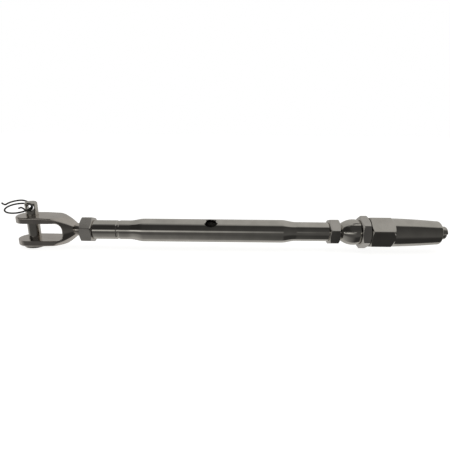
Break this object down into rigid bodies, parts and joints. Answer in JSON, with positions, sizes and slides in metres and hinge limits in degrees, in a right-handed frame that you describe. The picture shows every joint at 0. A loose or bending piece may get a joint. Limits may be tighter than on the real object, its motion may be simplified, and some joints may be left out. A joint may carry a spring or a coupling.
{
  "type": "rigging turnbuckle",
  "caption": "Closed-body rigging turnbuckle with a forked jaw, clevis pin and split ring at one end and a wedge-type wire terminal at the other.",
  "frame": {"origin": "middle of the body tube on the screw axis, where the tommy bar hole crosses it", "axes": "+X along the screw axis from the jaw to the wire terminal, +Z along the clevis pin from its head to its free end, +Y to the back"},
  "size_m": [0.2426, 0.0179, 0.0257],
  "materials": {
    "body_steel": "electropolished, fine lengthways polishing lines",
    "nut_steel": "turned and polished hexagon, faint swirls on the flats",
    "jaw_steel": "polished, softly brushed along the ears",
    "pin_steel": "turned and polished",
    "ring_steel": "drawn spring wire",
    "terminal_steel": "turned, brushed along the axis, polished",
    "cone_steel": "turned, satin"
  },
  "bodies": {
    "body_tube": {"body_tube": "body_steel"},
    "left_nut": {"lock_nut_left": "nut_steel"},
    "jaw": {"jaw": "jaw_steel"},
    "clevis_pin": {"clevis_pin": "pin_steel"},
    "split_ring": {"split_ring": "ring_steel"},
    "right_nut": {"lock_nut_right": "nut_steel"},
    "stud": {"terminal_stud": "terminal_steel"},
    "terminal_nut": {"terminal_lock_nut": "nut_steel"},
    "socket": {"terminal_socket": "terminal_steel"},
    "upper_cone": {"cone_half_upper": "cone_steel"},
    "lower_cone": {"cone_half_lower": "cone_steel"},
    "former": {"wire_former": "cone_steel"}
  },
  "joints": [
    {"name": "body_turn", "type": "hinge", "parent": "body_tube", "child": "left_nut", "pos_m": [-0.0682, 0, 0], "axis": [1, 0, 0], "range_deg": [0, 11530]},
    {"name": "jaw_travel", "type": "slide", "parent": "left_nut", "child": "jaw", "axis": [-1, 0, 0], "range_m": [0, 0.04]},
    {"name": "right_nut_turn", "type": "hinge", "parent": "body_tube", "child": "right_nut", "pos_m": [0.0678, 0, 0], "axis": [1, 0, 0], "range_deg": [0, 11530]},
    {"name": "stud_travel", "type": "slide", "parent": "right_nut", "child": "stud", "axis": [1, 0, 0], "range_m": [0, 0.0401]},
    {"name": "clevis_pin_spin", "type": "hinge", "parent": "jaw", "child": "clevis_pin", "pos_m": [-0.0986, 0, 0], "axis": [0, 0, 1], "continuous": true},
    {"name": "split_ring_swing", "type": "hinge", "parent": "clevis_pin", "child": "split_ring", "pos_m": [-0.0986, 0, 0.0126], "axis": [-0.342, 0.9397, 0], "range_deg": [-10, 95]},
    {"name": "socket_turn", "type": "hinge", "parent": "stud", "child": "terminal_nut", "pos_m": [0.0844, 0, 0], "axis": [1, 0, 0], "range_deg": [0, 2520]},
    {"name": "socket_travel", "type": "slide", "parent": "terminal_nut", "child": "socket", "axis": [1, 0, 0], "range_m": [0, 0.0088]},
    {"name": "upper_cone_slide", "type": "slide", "parent": "socket", "child": "upper_cone", "axis": [-1, 0, 0], "range_m": [0, 0.0025]},
    {"name": "lower_cone_slide", "type": "slide", "parent": "socket", "child": "lower_cone", "axis": [-1, 0, 0], "range_m": [0, 0.0026]},
    {"name": "former_slide", "type": "slide", "parent": "stud", "child": "former", "axis": [1, 0, 0], "range_m": [0, 0.0025]}
  ],
  "couplings": [
    {"joint": "body_turn", "follows": "jaw_travel", "rad_per_m": 5026.5},
    {"joint": "right_nut_turn", "follows": "jaw_travel", "rad_per_m": 5026.5},
    {"joint": "stud_travel", "follows": "jaw_travel", "ratio": 1},
    {"joint": "socket_travel", "follows": "socket_turn", "m_per_rad": 0.00019894},
    {"joint": "lower_cone_slide", "follows": "upper_cone_slide", "ratio": 1}
  ]
}
